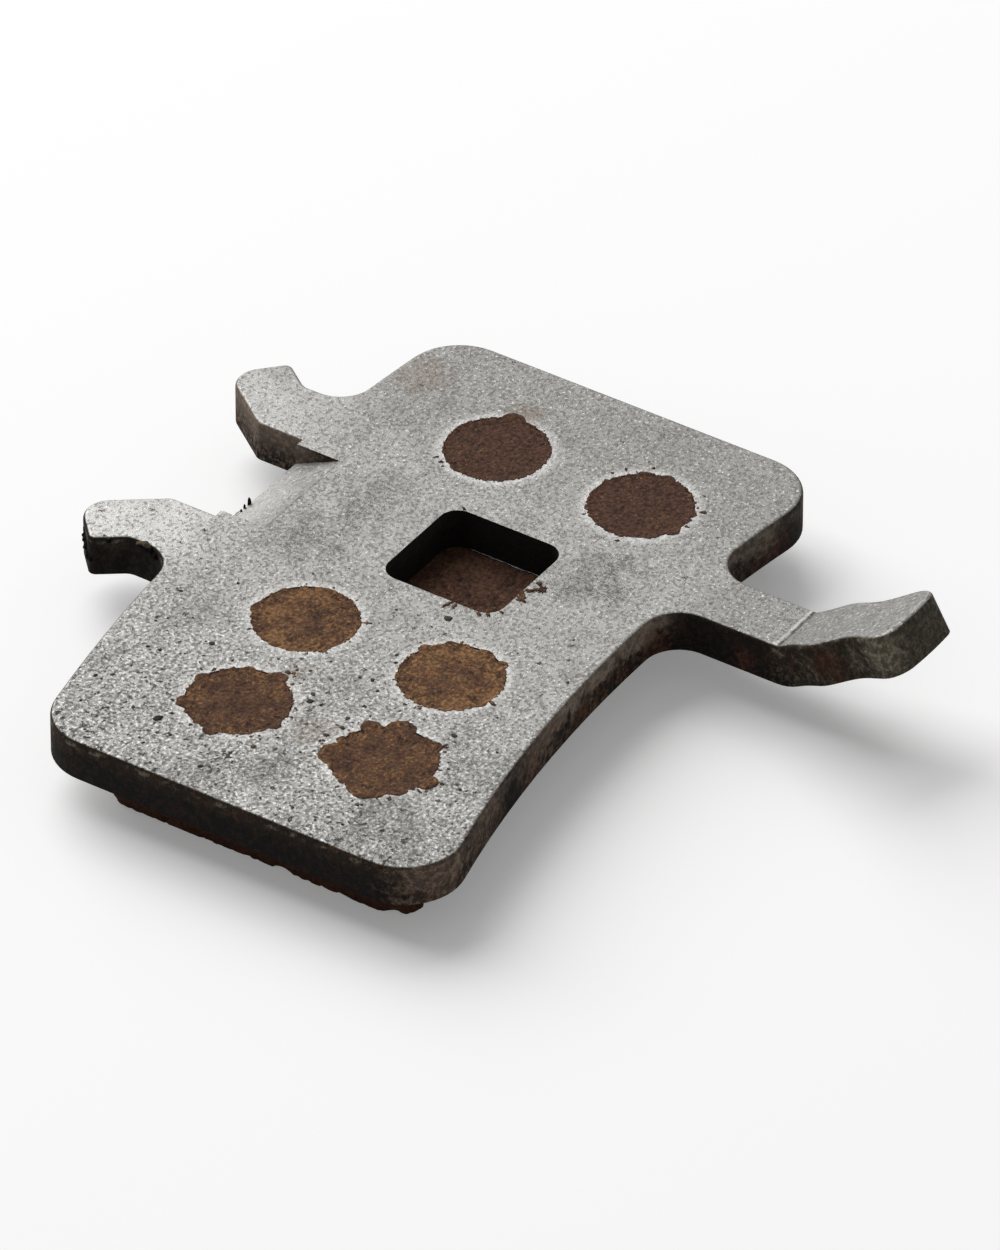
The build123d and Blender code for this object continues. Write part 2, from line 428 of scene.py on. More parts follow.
scuff_share = vary(tree, 0.08, streaks, 0.85)
for (x, y), radius, strength in SCUFFS:
    spot = use_group(tree, spot_group, mm, Centre=(x, y, BACK_MM), Radius=radius, Fray=2.6, Size=1.4)
    scuff = calc(tree, "MULTIPLY", spot, share_of(tree, scuff_share, strength))
    back_colour = blend(tree, scuff, back_colour, STEEL_DARK)
for (x, y), radius, strength in STAINS:
    spot = use_group(tree, spot_group, mm, Centre=(x, y, BACK_MM), Radius=radius, Fray=2.8, Size=0.5)
    back_colour = blend(tree, share_of(tree, spot, strength), back_colour, STAIN_BROWN)

# %% The coined ramp: rubbed smooth, and pale partly from that and partly as a painted highlight where it slopes towards the lamp, with a dark line where it starts
RAMP_HALF, RAMP_Y, RAMP_RUN = 2.95, 8.95, 2.2
RAMP_PALE = (0.52, 0.515, 0.50, 1)
on_ramp = step(tree, calc(tree, "ABSOLUTE", along), RAMP_HALF + 0.05, RAMP_HALF - 0.05)
rubbed_and_painted_lit_ramp = calc(tree, "MULTIPLY", on_ramp, step(tree, across_plate, RAMP_Y, RAMP_Y + RAMP_RUN))
shine_share = vary(tree, 0.52, step(tree, along, -0.5, 2.5), -0.40)
back_colour = blend(tree, calc(tree, "MULTIPLY", rubbed_and_painted_lit_ramp, shine_share), back_colour, RAMP_PALE)
ramp_line = step(tree, calc(tree, "ABSOLUTE", calc(tree, "SUBTRACT", across_plate, RAMP_Y)), 0.11, 0.02)
ramp_line = calc(tree, "MULTIPLY", ramp_line, on_ramp)
line_share = vary(tree, 0.15, mottle, 0.6)
back_colour = blend(tree, share_of(tree, ramp_line, line_share), back_colour, STEEL_DARK)

# %% The crease where the tab was bent: painted shade along the fold, with a painted highlight on the ridge beside it
CREASE_Y = -14.5
uneven = calc(tree, "SUBTRACT", mottle, 0.5)
from_fold = vary(tree, calc(tree, "SUBTRACT", across_plate, CREASE_Y), uneven, 0.07)
painted_fold_shade = step(tree, calc(tree, "ABSOLUTE", from_fold), 0.13, 0.03)
painted_ridge_highlight = step(tree, calc(tree, "ABSOLUTE", calc(tree, "SUBTRACT", from_fold, 0.20)), 0.12, 0.03)
back_colour = blend(tree, share_of(tree, painted_ridge_highlight, 0.32), back_colour, STEEL_LIGHT)
back_colour = blend(tree, share_of(tree, painted_fold_shade, 0.70), back_colour, SOOT_AND_SHADE)

# %% [markdown]
# ## The plate's walls
#
# The walls are one dark, rusty scale to begin with, and most have been through something else
# since. The concave edge is burnished and brown, the right hook is rubbed nearly bare, and the
# left hook and the tab's stem are black. The long end's wall is darkened with painted shade,
# deepest towards its foot, and the window's walls are painted black as shade. Some olive bare
# patches and flecks are painted highlights. Masks made from place and facing lighten or blacken
# each of them, and the rust and bare spots that stand out are listed.

# %% Dark walls and front, with rust and a few bare places; on the tab's walls these also serve as painted highlights
SCALE_AND_SHADE_BLACK = (0.0055, 0.0045, 0.0045, 1)
SCALE_BROWN = (0.095, 0.064, 0.037, 1)
RUST_RED = (0.190, 0.070, 0.032, 1)
BARE_OLIVE_AND_HIGHLIGHT = (0.270, 0.240, 0.175, 1)

inner_side = step(tree, faces["Y"], -0.30, -0.80)
burnish = step(tree, vary(tree, level, uneven, 0.9), 2.7, 3.5)
burnished_arc = calc(tree, "MULTIPLY", inner_side, burnish)
on_tab = step(tree, across_plate, -13.0, -16.0)
wall_grain = use_group(tree, patch_group, mm, Size=0.30, Level=0.53, Softness=0.08, Fray=0.75)
rust_mask = use_group(tree, patch_group, mm, Size=1.0, Level=0.58, Softness=0.09, Fray=0.85)
# The olive patches are bare steel; on the tab's walls, which get more of them, they are partly painted
# highlights
bare_level = vary(tree, 0.72, burnished_arc, -0.23)
bare_level = vary(tree, bare_level, on_tab, -0.17)
bare_and_highlight_patches = use_group(tree, patch_group, mm, Size=0.8, Level=bare_level, Softness=0.09, Fray=0.85)
brown_share = calc(tree, "MAXIMUM", share_of(tree, burnish, 0.30), wall_grain)
rust_share = share_of(tree, rust_mask, vary(tree, 0.18, wall_grain, 0.50))
bare_and_highlight_share = share_of(tree, bare_and_highlight_patches, vary(tree, 0.30, wall_grain, 0.6))
dark_colour = blend(tree, brown_share, SCALE_AND_SHADE_BLACK, SCALE_BROWN)
dark_colour = blend(tree, rust_share, dark_colour, RUST_RED)
dark_colour = blend(tree, bare_and_highlight_share, dark_colour, BARE_OLIVE_AND_HIGHLIGHT)
dark_colour = blend(tree, share_of(tree, dark_grains, 0.5), dark_colour, SCALE_AND_SHADE_BLACK)

# %% The right hook's walls are rubbed bare; the left hook's and the stem's are black; the long end's wall gets painted shade
HOOK_TAUPE = (0.300, 0.235, 0.190, 1)
arc_bare = calc(tree, "MULTIPLY", burnished_arc, vary(tree, 0.36, wall_grain, 0.50))
arc_bare = calc(tree, "MULTIPLY", arc_bare, step(tree, across_plate, -14.0, -12.0))
dark_colour = blend(tree, arc_bare, dark_colour, HOOK_TAUPE)
on_hooks = step(tree, across_plate, 9.5, 11.5)
right_hook = calc(tree, "MULTIPLY", step(tree, along, 2.2, 2.8), on_hooks)
hook_bare = vary(tree, share_of(tree, step(tree, level, 2.2, 4.0), 0.45), wall_grain, 0.25)
dark_colour = blend(tree, calc(tree, "MULTIPLY", right_hook, hook_bare), dark_colour, HOOK_TAUPE)
left_hook = calc(tree, "MULTIPLY", step(tree, along, -4.0, -5.5), on_hooks)
stem_wall = calc(tree, "MULTIPLY", step(tree, across_plate, -8.9, -9.6),
                 step(tree, across_plate, -15.0, -13.5))
# Painted shade on the long end's wall, which faces away from the lamp, deepest towards its foot
long_wall_painted_shade = calc(tree, "MULTIPLY", step(tree, faces["X"], -0.55, -0.85),
                 step(tree, along, -17.0, -19.0))
long_wall_painted_shade = calc(tree, "MULTIPLY", long_wall_painted_shade, vary(tree, 0.45, step(tree, level, 3.7, 2.9), 0.4))
hook_and_stem = calc(tree, "MAXIMUM", left_hook, stem_wall)
blackened_and_painted_shade = calc(tree, "MAXIMUM", long_wall_painted_shade, share_of(tree, hook_and_stem, 0.80))
blackened_and_painted_shade = calc(tree, "MAXIMUM", blackened_and_painted_shade, share_of(tree, on_tab, 0.50))
dark_colour = blend(tree, blackened_and_painted_shade, dark_colour, SCALE_AND_SHADE_BLACK)

# %% Rust and bare spots in their places on the walls; the large olive spot on the tab's end is a painted highlight where the wall curves
RUST_DEEP = (0.105, 0.040, 0.024, 1)
ARC_BROWN = (0.285, 0.200, 0.145, 1)
WALL_MARKS = (((0.9, -8.8, 2.5), 1.4, 0.75, RUST_DEEP), ((-4.8, -8.95, 2.6), 1.3, 0.60, RUST_DEEP),
              ((2.13, -12.8, 2.6), 1.0, 0.75, RUST_DEEP), ((1.9, -17.3, 4.4), 1.3, 0.65, RUST_DEEP),
              ((9.4, -9.4, 2.6), 1.8, 0.60, RUST_DEEP), ((-9.5, -9.4, 2.6), 1.1, 0.55, RUST_DEEP),
              ((1.7, -20.1, 6.1), 1.8, 1.0, BARE_OLIVE_AND_HIGHLIGHT), ((2.0, -18.6, 5.3), 0.9, 0.45, BARE_OLIVE_AND_HIGHLIGHT),
              ((9.0, -9.4, 3.7), 1.7, 0.50, BARE_OLIVE_AND_HIGHLIGHT), ((-18.6, -10.5, 3.3), 3.2, 0.75, ARC_BROWN),
              ((-14.5, -10.3, 3.6), 3.4, 0.60, ARC_BROWN), ((-9.0, -9.4, 3.7), 3.2, 0.50, ARC_BROWN))
broken = vary(tree, 0.30, wall_grain, 0.70)
for place, radius, strength, tint in WALL_MARKS:
    spot = use_group(tree, spot_group, mm, Centre=place, Radius=radius, Fray=2.0, Size=0.45)
    spot = calc(tree, "MULTIPLY", spot, broken)
    dark_colour = blend(tree, share_of(tree, spot, strength), dark_colour, tint)
# Flecks near the walls' top edge: partly bare steel, partly painted highlights along the edge
rim_band = calc(tree, "MULTIPLY", step(tree, level, 3.55, 3.70), step(tree, level, 3.90, 3.80))
rim_flecks_and_highlights = use_group(tree, patch_group, mm, Size=0.8, Level=0.58, Softness=0.05, Fray=0.7)
rim_flecks_and_highlights = calc(tree, "MULTIPLY", rim_band, rim_flecks_and_highlights)
dark_colour = blend(tree, share_of(tree, rim_flecks_and_highlights, 0.55), dark_colour, BARE_OLIVE_AND_HIGHLIGHT)

# %% The window's walls are painted black: painted shade in the recess
WINDOW_REACH = 3.2
from_middle = calc(tree, "MAXIMUM", calc(tree, "ABSOLUTE", along), calc(tree, "ABSOLUTE", across_plate))
window_painted_shade = step(tree, from_middle, WINDOW_REACH, WINDOW_REACH - 0.05)
dark_colour = blend(tree, share_of(tree, window_painted_shade, 0.93), dark_colour, SCALE_AND_SHADE_BLACK)

# %% Join back and walls in one shader
STEEL_RELIEF = 0.05 * MM
is_back = step(tree, faces["Z"], 0.68, 0.93)
colour = blend(tree, is_back, dark_colour, back_colour)
back_rough = vary(tree, 0.40, fine, 0.16)
rough = add_node(tree, "MapRange", Value=is_back, To_Min=0.80, To_Max=back_rough).outputs[0]
metal = calc(tree, "MULTIPLY", is_back, vary(tree, 0.58, pits, -0.56))
height = vary(tree, share_of(tree, light_grains, 0.5), mottle, 0.5)
height = vary(tree, height, dark_grains, -0.7)
height = vary(tree, height, pits, -1.4)
relief = add_node(tree, "Bump", Height=height, Strength=0.5, Distance=STEEL_RELIEF)
shader = add_node(tree, "BsdfPrincipled", Base_Color=colour, Roughness=rough, Metallic=metal,
                  Specular_IOR_Level=0.12, Normal=relief.outputs[0])
tree.links.new(shader.outputs[0], output.inputs["Surface"])
plate.data.materials.clear()
plate.data.materials.append(steel)
print("plate steel nodes", len(tree.nodes))

# %% [markdown]
# ## Friction compound
#
# The compound is pressed from fibres, resin and metal chips. Where it fills the plate it is
# a dark, warm brown with golden grains. The friction face is greyer, rubbed in one direction,
# and sprinkled with copper. Facing tells the two apart again.

# %% Brown compound with golden grains
BROWN_MID = (0.118, 0.058, 0.035, 1)
BROWN_DARK = (0.018, 0.010, 0.008, 1)
BROWN_GOLD = (0.440, 0.235, 0.100, 1)
BROWN_RED = (0.135, 0.062, 0.040, 1)
BROWN_WALL = (0.052, 0.017, 0.010, 1)

compound, tree, output = new_material("friction_compound")
mm = position_mm(tree)
faces = facing(tree)
along, across_plate, level = add_node(tree, "SeparateXYZ", Vector=mm).outputs
golden_end = vary(tree, step(tree, along, 3.0, -5.0), step(tree, along, -10.5, -12.0), -0.45)
plug_rim = step(tree, use_group(tree, hole_group, mm), 0.3, 2.0)
fine = use_group(tree, grain_group, mm, Size=0.19, Roughen=0.7)
coarse = use_group(tree, grain_group, mm, Size=0.80, Roughen=0.6)
on_top = step(tree, level, BACK_MM - 0.6, BACK_MM - 0.3)
gold_level = vary(tree, 0.67, calc(tree, "MULTIPLY", golden_end, on_top), -0.06)
gold_level = vary(tree, gold_level, calc(tree, "MULTIPLY", plug_rim, golden_end), -0.05)
clusters = use_group(tree, patch_group, mm, Size=0.9, Level=0.50, Softness=0.14, Fray=0.6)
gold_level = vary(tree, calc(tree, "ADD", gold_level, 0.015), clusters, -0.08)
gold_grains = use_group(tree, patch_group, mm, Size=0.18, Level=gold_level, Softness=0.09, Fray=0.7)
dark_pits = use_group(tree, pit_group, mm, Spacing=0.40, Share=0.5, Width=0.42, Ragged=1.0)
brown = blend(tree, fine, BROWN_DARK, BROWN_MID)
dark_clusters = use_group(tree, patch_group, mm, Size=0.6, Level=0.54, Softness=0.10, Fray=0.6)
brown = blend(tree, share_of(tree, coarse, 0.35), brown, BROWN_RED)
golden_bed = calc(tree, "MULTIPLY", calc(tree, "MULTIPLY", clusters, golden_end), on_top)
brown = blend(tree, share_of(tree, golden_bed, 0.19), brown, BROWN_GOLD)
brown = blend(tree, share_of(tree, gold_grains, 0.72), brown, BROWN_GOLD)
brown = blend(tree, share_of(tree, dark_clusters, 0.22), brown, BROWN_DARK)
brown = blend(tree, share_of(tree, dark_pits, 0.80), brown, BROWN_DARK)
is_wall = step(tree, calc(tree, "ABSOLUTE", faces["Z"]), 0.75, 0.45)
brown = blend(tree, share_of(tree, is_wall, 0.65), brown, BROWN_WALL)

# %% Rubbed friction face with copper chips
FACE_MID = (0.185, 0.150, 0.110, 1)
FACE_GREY = (0.17, 0.168, 0.165, 1)
FACE_DARK = (0.040, 0.032, 0.024, 1)
COPPER = (0.62, 0.27, 0.17, 1)
RUB_STRETCH = (1.0, 0.22, 1.0)
rubbed = add_node(tree, "VectorMath", {"operation": "MULTIPLY"}, i0=mm, i1=RUB_STRETCH).outputs[0]
streaks = use_group(tree, grain_group, rubbed, Size=0.28, Roughen=0.6)
grey_bands = use_group(tree, patch_group, rubbed, Size=2.4, Level=0.52, Softness=0.16)
chips = use_group(tree, pit_group, mm, Spacing=1.6, Share=0.42, Width=0.16, Ragged=0.3)
face = blend(tree, streaks, FACE_DARK, FACE_MID)
face = blend(tree, 0.40, face, FACE_MID)
face = blend(tree, share_of(tree, grey_bands, 0.5), face, FACE_GREY)
face = blend(tree, share_of(tree, dark_pits, 0.75), face, FACE_DARK)
face = blend(tree, share_of(tree, chips, 0.85), face, COPPER)

# %% Join compound and rubbed face in one shader
COMPOUND_RELIEF = 0.08 * MM
is_face = step(tree, faces["Z"], -0.45, -0.80)
colour = blend(tree, is_face, brown, face)
metal = calc(tree, "MULTIPLY", calc(tree, "MULTIPLY", chips, is_face), 0.8)
rough = vary(tree, 0.92, fine, -0.20)
height = vary(tree, share_of(tree, fine, 0.5), coarse, 0.5)
height = vary(tree, height, gold_grains, 0.4)
height = calc(tree, "SUBTRACT", height, dark_pits)
relief = add_node(tree, "Bump", Height=height, Strength=0.6, Distance=COMPOUND_RELIEF)
shader = add_node(tree, "BsdfPrincipled", Base_Color=colour, Roughness=rough, Metallic=metal,
                  Specular_IOR_Level=0.15, Normal=relief.outputs[0])
tree.links.new(shader.outputs[0], output.inputs["Surface"])
print("compound nodes", len(tree.nodes))

# %% [markdown]
# ## Worn lining
#
# The real lining crumbles: its edges are chipped, its plugs are uneven, and nothing on it is
# crisp. The CAD solid is crisp, so it is copied into a new piece and covered with an even, fine
# mesh by a voxel remesh. Each point is then moved inwards only, because compound wears away
# and never grows. Points near a CAD edge lose the most. The chips come from noise that depends
# on the place alone, so they are the same in every run.

# %% A fine, even mesh over the lining
VOXEL = 0.14 * MM
EDGE_ANGLE = math.radians(30)
EDGE_STEP = 0.2 * MM
WELD_GAP = 0.001 * MM

welded = bmesh.new()
welded.from_mesh(lining.data)
bmesh.ops.remove_doubles(welded, verts=welded.verts, dist=WELD_GAP)
edge_points = []
for edge in welded.edges:
    if len(edge.link_faces) == 2 and edge.calc_face_angle() > EDGE_ANGLE:
        start, end = (vert.co for vert in edge.verts)
        pieces = max(1, math.ceil((end - start).length / EDGE_STEP))
        edge_points += [start.lerp(end, i / pieces) for i in range(pieces + 1)]
even = bpy.data.meshes.new("even_lining")
welded.to_mesh(even)
welded.free()
print("edge points", len(edge_points))

# %% Remesh it
blank = bpy.data.objects.new("even_lining", even)
bpy.context.scene.collection.objects.link(blank)
remesh = blank.modifiers.new("even_mesh", "REMESH")
remesh.mode = "VOXEL"
remesh.voxel_size = VOXEL
depsgraph = bpy.context.evaluated_depsgraph_get()
worn_mesh = bpy.data.meshes.new_from_object(blank.evaluated_get(depsgraph))
bpy.data.objects.remove(blank)
print("worn lining", len(worn_mesh.vertices), "points")

# %% Wear it down
CHIP_WAVES, CHIP_REACH, CHIP_DEPTH = 0.9, 0.60, 0.38
NICK_WAVES, NICK_REACH, NICK_DEPTH = 2.9, 0.35, 0.36
PIT_WAVES, PIT_FLOOR, PIT_DEPTH = 2.2, 0.42, 0.30
GRIT_WAVES, GRIT_DEPTH = 4.5, 0.03
EDGE_FLOOR = 0.05
NICK_SHIFT, PIT_SHIFT = Vector((7, 3, 1)), Vector((1, 9, 4))
PLUG_LEVEL = BACK_Z - 0.5 * MM

edges = kdtree.KDTree(len(edge_points))
for i, point in enumerate(edge_points):
    edges.insert(point, i)
edges.balance()


def noise_above(place, floor):
    """How far the noise at a place rises above a floor."""
    return max(0, noise.noise(place) - floor)


def worn_depth(place, edge_gap):
    """How far a point of the lining has worn inwards, all in millimetres."""
    near_chip, near_nick = max(0, 1 - edge_gap / CHIP_REACH), max(0, 1 - edge_gap / NICK_REACH)
    chip = noise_above(place * CHIP_WAVES, EDGE_FLOOR) * CHIP_DEPTH * near_chip
    nick = noise_above(place * NICK_WAVES + NICK_SHIFT, EDGE_FLOOR) * NICK_DEPTH * near_nick
    pit = noise_above(place * PIT_WAVES + PIT_SHIFT, PIT_FLOOR) * PIT_DEPTH
    grit = (0.5 + 0.5 * noise.noise(place * GRIT_WAVES)) * GRIT_DEPTH
    return chip + nick + pit + grit


moves = []
for vert in worn_mesh.vertices:
    edge_gap = edges.find(vert.co)[2] / MM if vert.co.z < PLUG_LEVEL else CHIP_REACH
    moves.append(vert.normal * worn_depth(vert.co / MM, edge_gap) * MM)
for vert, move in zip(worn_mesh.vertices, moves):
    vert.co -= move
print("deepest chip", round(max(move.length for move in moves) / MM, 2), "mm")

# %% [markdown]
# ## Moulding flash
#
# When the lining was pressed, compound filled the holes to the brim and squeezed out over the
# plate's back in thin, ragged tongues. A painted edge would look flat from the side, so each
# plug gets a real cap of film. Its edge wanders a little past the hole or falls short of it.
# The larger tongues are round blobs, listed by direction, reach and half width, with angles in
# degrees and reach in millimetres.

# %% Where each plug's tongues are
TONGUES = {
    "A": ((15, 0.42, 13), (300, 0.08, 25), (160, 0.08, 20)),
    "B": ((28, 0.14, 16), (2, 0.20, 10), (288, 0.18, 8), (250, 0.24, 10), (190, 0.08, 16),
          (125, 0.12, 9)),
    "C": ((103, 0.20, 12), (295, 0.10, 12), (232, 0.16, 7)),
    "D": ((184, 0.34, 9), (348, 0.40, 10), (78, 0.22, 9), (124, 0.32, 10), (257, 0.24, 8),
          (22, 0.14, 8)),
    "E": ((62, 0.26, 9), (35, 0.20, 7), (352, 0.14, 10), (325, 0.24, 7), (248, 0.12, 9)),
    "F": ((112, 0.52, 17), (48, 0.50, 10), (16, 0.55, 15), (193, 0.50, 20), (263, 0.55, 11),
          (327, 0.34, 9), (85, 0.18, 8), (230, 0.20, 14)),
}
RAGGEDNESS = {"A": 0.7, "B": 1.2, "C": 0.7, "D": 1.1, "E": 1.0, "F": 1.3}
RIM_REACH = 0.03
RIM_WAVES = ((5, 0.08), (12, 0.08), (29, 0.07))
TONGUE_WANDER = 0.6


def heading(angle):
    """A step of length 1 in one direction, level with the back."""
    return Vector((math.cos(angle), math.sin(angle), 0))


def plug_noise(name, place):
    """Noise that differs from plug to plug."""
    return noise.noise(place + Vector((0, 0, ord(name))))


def film_reach(name, angle):
    """How far past the hole's edge the film reaches in one direction, in millimetres."""
    wander = sum(size * plug_noise(name, heading(angle) * waves) for waves, size in RIM_WAVES)
    reach = RIM_REACH + RAGGEDNESS[name] * wander
    for middle, tongue, half in TONGUES[name]:
        off = angle - math.radians(middle)
        radius = (HOLE_RADIUS + tongue / 2) * math.tan(math.radians(half))
        away = HOLE_RADIUS + tongue - radius
        aside = away * math.sin(off)
        if math.cos(off) > 0 and abs(aside) < radius:
            blob = away * math.cos(off) + math.sqrt(radius**2 - aside**2) - HOLE_RADIUS
            reach = max(reach, blob + TONGUE_WANDER * RAGGEDNESS[name] * wander)
    return reach


# %% One cap: the section through it in one direction, as radius and height over the back
CAP_RADII = (0.4, 0.8, 1.2, 1.6, 1.9, 2.15)
CAP_DIP, CAP_LUMPS, CAP_WAVES = -0.03, 0.035, 2.6
CAP_DEPTH = -0.16
CAP_SHOULDER, CAP_FOOT = 2.33, 2.30
FILM_THICK, FILM_WAVES, FILM_ROOT = 0.035, 9, 2.36
FILM_LEAST, FILM_TIP, FILM_LIFT = 0.02, 0.03, 0.001
SHORT_FALL = 0.03
SHORT_RIM = ((0.06, CAP_DIP), (0.04, CAP_DIP), (0.02, CAP_DIP * 1.4), (0, -0.07), (0.01, -0.11),
             (0.05, CAP_DEPTH))


def cap_section(name, angle):
    """From the cap's middle out along its top, over its edge and back underneath."""
    turn = heading(angle)
    section = [(r, CAP_DIP + CAP_LUMPS * plug_noise(name, turn * r * CAP_WAVES)) for r in CAP_RADII]
    reach = film_reach(name, angle)
    outer = HOLE_RADIUS + reach
    rise = FILM_THICK * (0.8 + 0.6 * plug_noise(name, turn * FILM_WAVES))
    if reach > FILM_LEAST:
        tip = min(FILM_TIP, reach)
        section += [(CAP_SHOULDER, rise * 0.3), ((FILM_ROOT + outer) / 2, rise),
                    (outer - tip * 0.5, rise * 0.7), (outer, FILM_LIFT),
                    (FILM_ROOT, FILM_LIFT), (CAP_FOOT, CAP_DEPTH)]
    else:
        outer = min(outer, HOLE_RADIUS - SHORT_FALL)
        section += [(outer - inset, z) for inset, z in SHORT_RIM]
    return section


# %% Build the caps into one mesh with the worn lining
CAP_STEPS = 300


def add_point(made, x, y, z):
    """A point of a mesh under construction, given in millimetres."""
    return made.verts.new((x * MM, y * MM, z * MM))


film = bmesh.new()
film.from_mesh(worn_mesh)
for name, (x, y) in HOLES.items():
    loops = []
    for i in range(CAP_STEPS):
        angle = 2 * math.pi * i / CAP_STEPS
        east, north = math.cos(angle), math.sin(angle)
        loops.append([add_point(film, x + r * east, y + r * north, BACK_MM + z)
                      for r, z in cap_section(name, angle)])
    top = add_point(film, x, y, BACK_MM + CAP_DIP)
    foot = add_point(film, x, y, BACK_MM + CAP_DEPTH)
    for loop, following in zip(loops, loops[1:] + loops[:1]):
        film.faces.new((top, loop[0], following[0]))
        film.faces.new((foot, following[-1], loop[-1]))
        for j in range(len(loop) - 1):
            film.faces.new((loop[j], loop[j + 1], following[j + 1], following[j]))
film.to_mesh(worn_mesh)
film.free()
print("worn lining with caps", len(worn_mesh.polygons), "faces")

# %% [markdown]
# ## Crumbs and smears
#
# Bits of the compound stick to the plate's back: smears at the window's near edge, bits torn off
# round the plugs, and many crumbs between the plugs of the long end. Each is a small lump with a
# flat foot, so that it sits on the steel. Scattering them by hand would take long, so most come
# from a seeded draw that prefers the long end, and the ones that stand out are listed. Brake dust
# has also caked on the left hook's wall, and a few dark splinters stand on the ramp's lower edge.

# %% One crumb
CRUMB_SIDES, CRUMB_RAGGED = 9, (0.75, 1.2)
CRUMB_TAPER, CRUMB_TOPS = 0.7, (0.5, 1.0)


def add_crumb(made, place, radius, height, draw, stretch, turn,
              sides=CRUMB_SIDES, ragged=CRUMB_RAGGED):
    """Adds a ragged lump with a flat foot to a mesh under construction, in millimetres."""
    foot, shoulder = [], []
    x, y, z = place
    east, north = math.cos(turn), math.sin(turn)
    for i in range(sides):
        angle = 2 * math.pi * i / sides
        reach = radius * draw.uniform(*ragged)
        dx, dy = reach * stretch * math.cos(angle), reach * math.sin(angle)
        dx, dy = dx * east - dy * north, dx * north + dy * east
        foot.append(add_point(made, x + dx, y + dy, z))
        top = z + height * draw.uniform(*CRUMB_TOPS)
        shoulder.append(add_point(made, x + dx * CRUMB_TAPER, y + dy * CRUMB_TAPER, top))
    peak = add_point(made, x, y, z + height)
    made.faces.new(list(reversed(foot)))
    for i in range(sides):
        k = (i + 1) % sides
        made.faces.new((foot[i], foot[k], shoulder[k], shoulder[i]))
        made.faces.new((shoulder[i], shoulder[k], peak))


# %% Add a finished mesh to the scene
def link_piece(name, mesh, material):
    """A new piece that rides on the pad, with one material and smooth shading."""
    piece = bpy.data.objects.new(name, mesh)
    bpy.context.scene.collection.objects.link(piece)
    mesh.materials.clear()
    mesh.materials.append(material)
    mesh.polygons.foreach_set("use_smooth", [True] * len(mesh.polygons))
    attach(piece, "root")
    return piece


# %% Smears at the window's edge and bits round the plugs, joined to the worn lining
SMEAR_SEED = 5
SMEAR_HEIGHT, SMEAR_SIDES, SMEAR_RAGGED = 0.05, 20, (0.45, 1.35)
SMEARS = ((-1.12, -3.32, 0.20, 1.4, 1.0), (-0.78, -3.10, 0.21, 1.5, 1.2),
          (-0.42, -3.28, 0.17, 1.5, 2.2), (-0.02, -3.70, 0.20, 1.5, 0.3),
          (-0.20, -3.48, 0.12, 1.6, 2.2), (0.24, -3.34, 0.15, 1.4, 1.4),
          (-3.22, -0.84, 0.10, 3.0, 2.85), (-3.16, -1.16, 0.10, 2.6, 0.15),
          (-3.04, -2.36, 0.09, 2.2, 0.8), (-2.86, -2.74, 0.10, 2.2, 0.9),
          (-2.40, -3.12, 0.07, 2.0, 1.3), (3.02, 2.45, 0.08, 1.8, 0.9))
RIM_BITS = {"A": 4, "B": 9, "C": 8, "D": 18, "E": 10, "F": 20}
BIT_RADII, BIT_STRETCH = (0.04, 0.115), (0.8, 2.0)
BIT_HEIGHT, BIT_SIDES = 0.03, 12
BIT_CLEARANCE, BIT_DRIFT = 1.5, 0.35

draw = random.Random(SMEAR_SEED)
made = bmesh.new()
made.from_mesh(worn_mesh)
for x, y, radius, stretch, turn in SMEARS:
    place = (x, y, BACK_MM)
    add_crumb(made, place, radius, SMEAR_HEIGHT, draw, stretch, turn, SMEAR_SIDES, SMEAR_RAGGED)
for name, bits in RIM_BITS.items():
    x, y = HOLES[name]
    for i in range(bits):
        turn = draw.uniform(0, 2 * math.pi)
        radius = draw.uniform(*BIT_RADII)
        rim = HOLE_RADIUS + film_reach(name, turn)
        away = rim + BIT_CLEARANCE * radius + BIT_DRIFT * draw.random() ** 2
        place = (x + away * math.cos(turn), y + away * math.sin(turn), BACK_MM)
        stretch = draw.uniform(*BIT_STRETCH)
        add_crumb(made, place, radius, BIT_HEIGHT, draw, stretch, turn, BIT_SIDES, SMEAR_RAGGED)
made.to_mesh(worn_mesh)
made.free()
worn_lining = link_piece("worn_lining", worn_mesh, compound)
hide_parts("friction_lining")
print("smears", len(SMEARS), "bits", sum(RIM_BITS.values()))

# %% Scatter crumbs over the back
CRUMB_COUNT, CRUMB_SEED = 190, 11
CRUMB_LEAST, CRUMB_SPREAD, CRUMB_HEIGHT = 0.03, 0.075, 0.45
CRUMB_STRETCH, CRUMB_TURN = (0.8, 1.5), (0, 3.1)
SPARSE_SHARE, THICKEN_FROM, THICKEN_RUN = 0.05, -2, 11
DENSE_LEAST, DENSE_MORE = 0.15, 0.85
BACK_HALF, AXLE_DROP = 11.0, 80.0
OUT_REACH, IN_REACH = 10.9, 8.3
END_SHORT, END_LONG = 13.2, 19.7
RAMP_CLEAR_Y, CORNER_CUT, RING_WIDTH = 8.5, 2.0, 0.15


